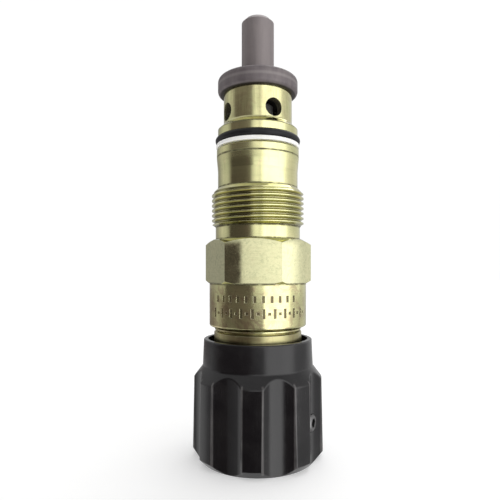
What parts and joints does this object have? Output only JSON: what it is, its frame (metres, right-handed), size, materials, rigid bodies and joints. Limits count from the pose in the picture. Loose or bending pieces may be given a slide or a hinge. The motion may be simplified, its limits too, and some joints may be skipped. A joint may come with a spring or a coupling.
{
  "type": "cartridge valve",
  "caption": "Screw-in hydraulic relief cartridge: ported steel nose with seals, mounting thread, hexagon, and a fluted plastic knob that sets the pressure.",
  "frame": {"origin": "on the valve axis, at the hexagon's flat seating face that meets the manifold", "axes": "+Z along the valve axis towards the nose tube, out of the manifold side of the hexagon; the knob is on the -Z side; +X and +Y are square to it, and the camera side of the stamped barrel faces -Y"},
  "size_m": [0.0396, 0.0396, 0.1326],
  "materials": {
    "zinc_steel": "turned, yellow zinc passivated",
    "phosphated_steel": "phosphated, matt dark grey",
    "seal_rubber": "black nitrile",
    "ptfe": "white PTFE",
    "hardened_steel": "ground",
    "polished_steel": "polished",
    "spring_steel": "oiled wire",
    "black_plastic": "moulded, semi-gloss",
    "brass": "turned",
    "black_oxide_steel": "black oxide"
  },
  "bodies": {
    "housing": {"valve_body": "zinc_steel", "valve_seat": "phosphated_steel", "nose_o_ring": "seal_rubber", "nose_backup_ring": "ptfe", "end_plug": "zinc_steel", "end_plug_o_ring": "seal_rubber", "friction_o_ring": "seal_rubber", "lock_ring": "zinc_steel"},
    "poppet": {"poppet": "hardened_steel", "spring_plate": "hardened_steel", "main_spring": "spring_steel"},
    "adjuster": {"adjusting_piston": "hardened_steel", "spring_shim": "hardened_steel", "piston_o_ring": "seal_rubber", "piston_backup_ring": "ptfe", "thrust_ball": "polished_steel"},
    "knob": {"adjusting_spindle": "hardened_steel", "knob": "black_plastic", "knob_insert": "brass", "knob_set_screw": "black_oxide_steel"}
  },
  "joints": [
    {"name": "poppet_lift", "type": "slide", "parent": "housing", "child": "poppet", "axis": [0, 0, -1], "range_m": [0, 0.0015], "stiffness_N_per_m": 3000, "springref_m": -0.01},
    {"name": "adjust_travel", "type": "slide", "parent": "housing", "child": "adjuster", "axis": [0, 0, 1], "range_m": [0, 0.0057], "deforming": ["main_spring"]},
    {"name": "knob_turn", "type": "hinge", "parent": "adjuster", "child": "knob", "pos_m": [0, 0, -0.05], "axis": [0, 0, 1], "range_deg": [0, 1350]}
  ],
  "couplings": [
    {"joint": "adjust_travel", "follows": "knob_turn", "m_per_rad": 0.00023873}
  ]
}
